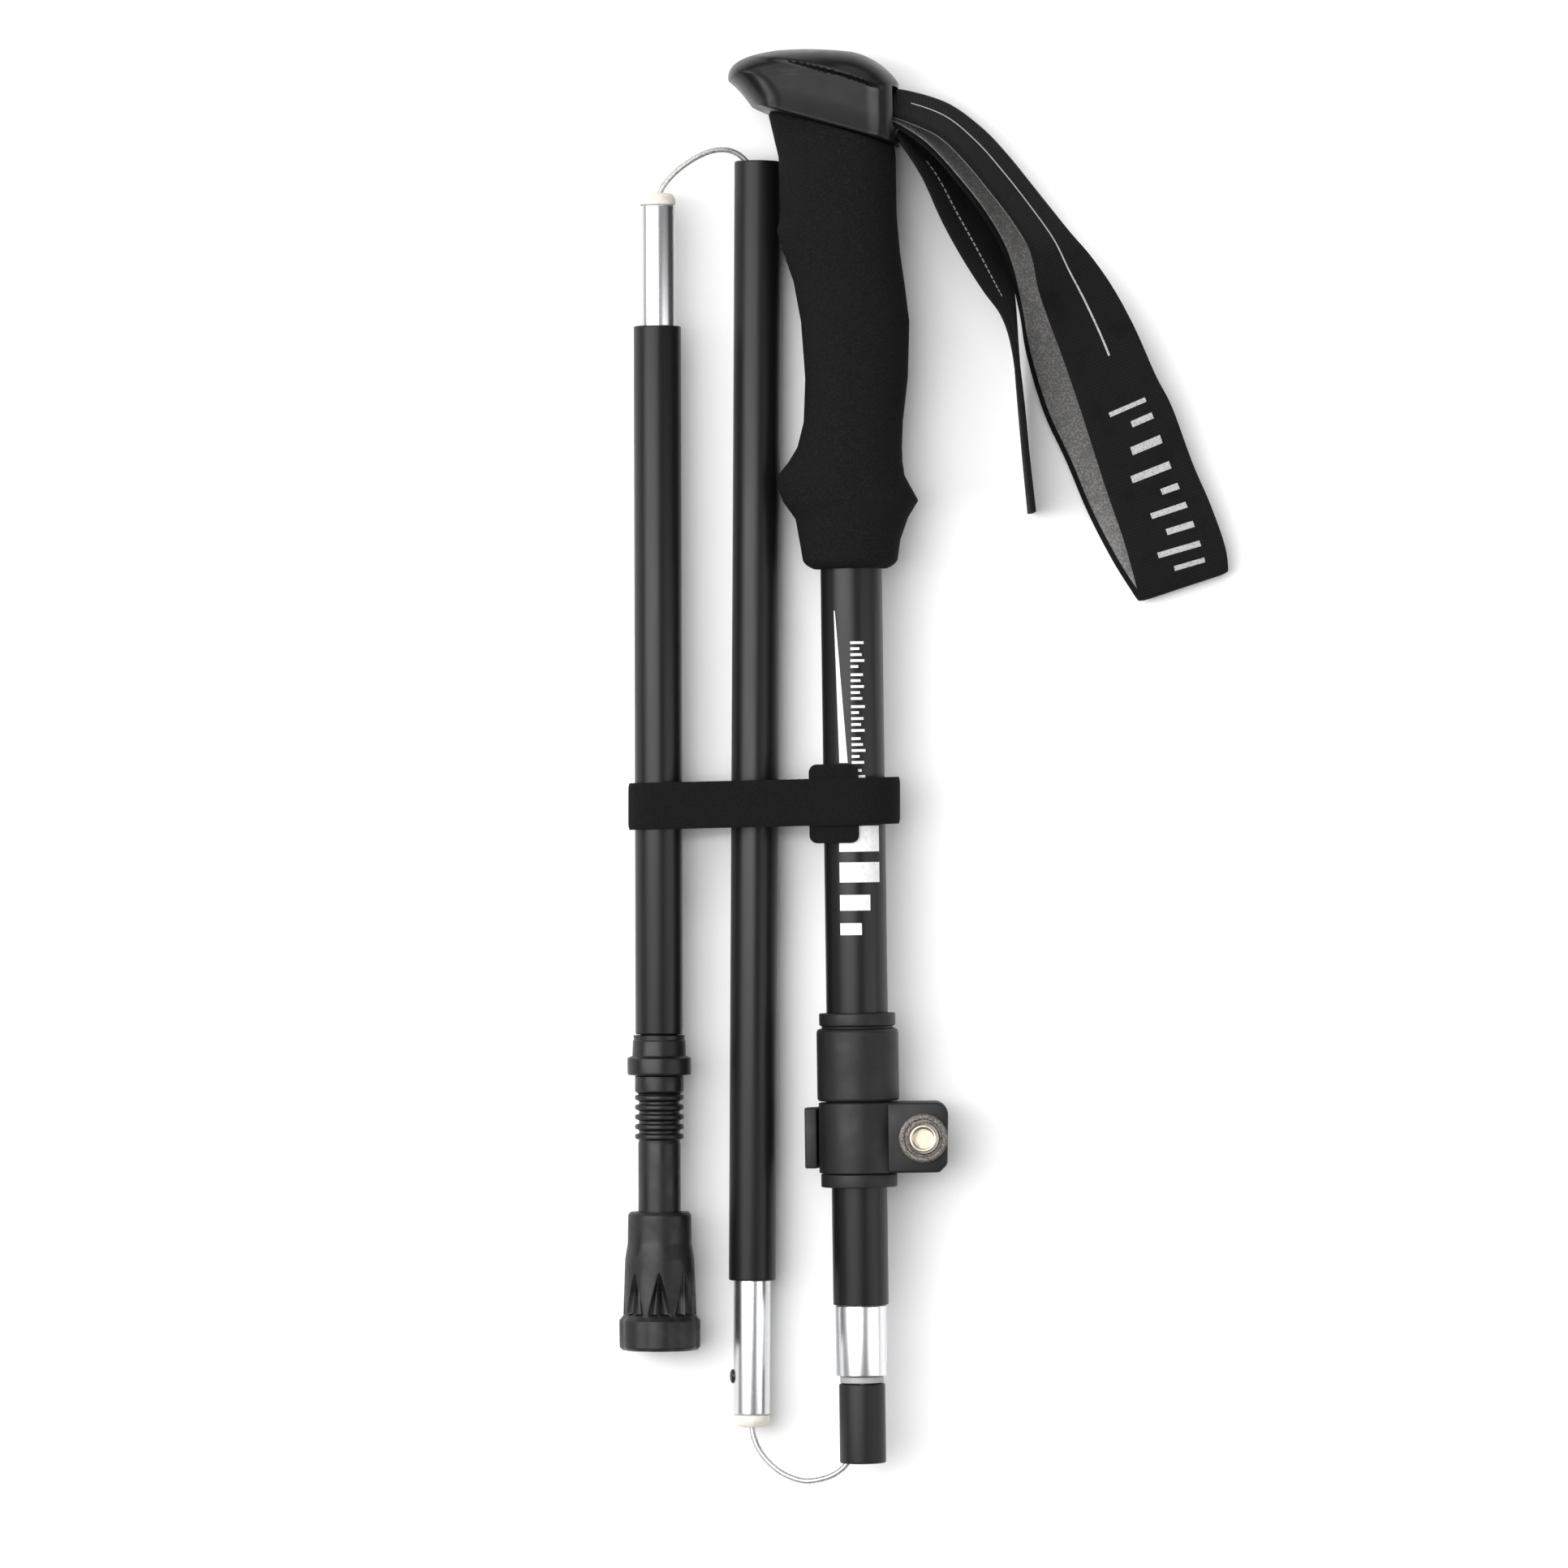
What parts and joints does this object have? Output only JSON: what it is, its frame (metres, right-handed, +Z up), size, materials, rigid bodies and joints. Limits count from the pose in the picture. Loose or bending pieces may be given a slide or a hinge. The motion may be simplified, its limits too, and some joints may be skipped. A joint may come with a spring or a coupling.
{
  "type": "folding trekking pole",
  "caption": "Sectional walking pole folded flat: foam grip with wrist loop, telescoping lever-locked shaft, corded push-fit joints, rubber foot and hook-and-loop tie.",
  "frame": {"origin": "on the resting surface, under the middle of the folded pole's bounding box", "axes": "+Y along the folded sections towards the grip head, +X from the tip section towards the wrist strap, +Z up from the surface"},
  "size_m": [0.1958, 0.4596, 0.0378],
  "materials": {
    "grip_plastic": "moulded charcoal plastic, satin with soft highlights",
    "grip_foam": "closed-cell foam, matte with fine cells",
    "webbing": "woven webbing, grey felt lining inside",
    "tie_fabric": "hook-and-loop tape, matte",
    "tube_paint": "black paint on aluminium, satin, pale printed marks on the upper tube",
    "lock_plastic": "dark grey moulded nylon, satin",
    "socket_paint": "black anodised aluminium",
    "screw_nickel": "warm nickel plate",
    "washer_dark": "dark phosphated steel, speckled",
    "ferrule_aluminium": "bright turned aluminium",
    "nylon_offwhite": "off-white nylon",
    "button_black": "black",
    "spring_steel": "bright steel",
    "coated_cord": "thin steel cable in a clear coat",
    "tip_plastic": "black moulded plastic",
    "carbide": "sintered carbide",
    "tip_rubber": "black moulded rubber, semi-gloss"
  },
  "bodies": {
    "handle": {"grip_head": "grip_plastic", "foam_grip": "grip_foam", "strap_pin": "screw_nickel", "upper_tube": "tube_paint", "lock_collar": "lock_plastic", "clamp_body": "lock_plastic", "clamp_washer": "washer_dark", "lever_pin": "screw_nickel", "tie_head": "tie_fabric", "tie_band": "tie_fabric"},
    "adjusting_screw": {"clamp_screw": "screw_nickel"},
    "lever": {"lock_lever": "lock_plastic"},
    "strap": {"wrist_strap": "webbing", "strap_tail": "webbing"},
    "lower_shaft": {"lower_tube": "tube_paint", "lower_tube_bush": "nylon_offwhite", "reducer_bush": "ferrule_aluminium", "joint_ring": "socket_paint", "joint_socket": "socket_paint", "tension_spring": "spring_steel", "spring_anchor": "nylon_offwhite", "lower_cord_loop": "coated_cord"},
    "lower_cord": {"middle_cord_run": "coated_cord"},
    "middle_section": {"middle_tube": "tube_paint", "middle_ferrule": "ferrule_aluminium", "middle_ferrule_cap": "nylon_offwhite", "button_spring": "spring_steel", "upper_cord_loop": "coated_cord"},
    "button": {"snap_button": "button_black"},
    "upper_cord": {"tip_cord_run": "coated_cord"},
    "tip_section": {"tip_tube": "tube_paint", "tip_ferrule": "ferrule_aluminium", "tip_ferrule_cap": "nylon_offwhite", "cord_anchor": "nylon_offwhite", "basket_nut": "tip_plastic", "tip_holder": "tip_plastic", "carbide_tip": "carbide"},
    "foot": {"rubber_tip": "tip_rubber", "tip_washer": "spring_steel"}
  },
  "joints": [
    {"name": "shaft_telescope", "type": "slide", "parent": "handle", "child": "lower_shaft", "axis": [0.0134, -0.9999, 0], "range_m": [0, 0.15], "deforming": ["tie_band"]},
    {"name": "lock_lever_open", "type": "hinge", "parent": "handle", "child": "lever", "pos_m": [-0.00067, -0.11851, 0.0046], "axis": [0.0134, -0.9999, 0], "range_deg": [0, 115]},
    {"name": "clamp_screw_turn", "type": "hinge", "parent": "handle", "child": "adjusting_screw", "pos_m": [-0.00067, -0.11851, 0.03], "axis": [0, 0, 1], "continuous": true},
    {"name": "strap_swing", "type": "hinge", "parent": "handle", "child": "strap", "pos_m": [-0.01297, 0.21066, 0.0198], "axis": [0, 0, 1], "range_deg": [0, 15]},
    {"name": "lower_fold", "type": "hinge", "parent": "lower_shaft", "child": "lower_cord", "pos_m": [-0.0377, -0.21784, 0.01464], "axis": [-0.277, -0.0011, 0.9609], "range_deg": [0, 181.02], "deforming": ["lower_cord_loop", "tie_band"]},
    {"name": "middle_insert", "type": "slide", "parent": "lower_cord", "child": "middle_section", "axis": [-0.0051, -1, 0], "range_m": [0, 0.0461], "deforming": ["lower_cord_loop", "tie_band"]},
    {"name": "button_press", "type": "slide", "parent": "middle_section", "child": "button", "axis": [1, -0.0051, 0], "range_m": [0, 0.0012], "stiffness_N_per_m": 300, "deforming": ["button_spring"]},
    {"name": "upper_fold", "type": "hinge", "parent": "middle_section", "child": "upper_cord", "pos_m": [-0.06967, 0.18967, 0.01125], "axis": [-0.1074, 0.0001, -0.9942], "range_deg": [0, 180.44], "deforming": ["upper_cord_loop", "tie_band"]},
    {"name": "tip_insert", "type": "slide", "parent": "upper_cord", "child": "tip_section", "axis": [-0.0026, 1, 0], "range_m": [0, 0.0417], "deforming": ["upper_cord_loop", "tie_band"]},
    {"name": "foot_pull_off", "type": "slide", "parent": "tip_section", "child": "foot", "axis": [0.0026, -1, 0], "range_m": [0, 0.05]}
  ],
  "couplings": [
    {"joint": "upper_fold", "follows": "lower_fold", "ratio": 0.9968}
  ]
}
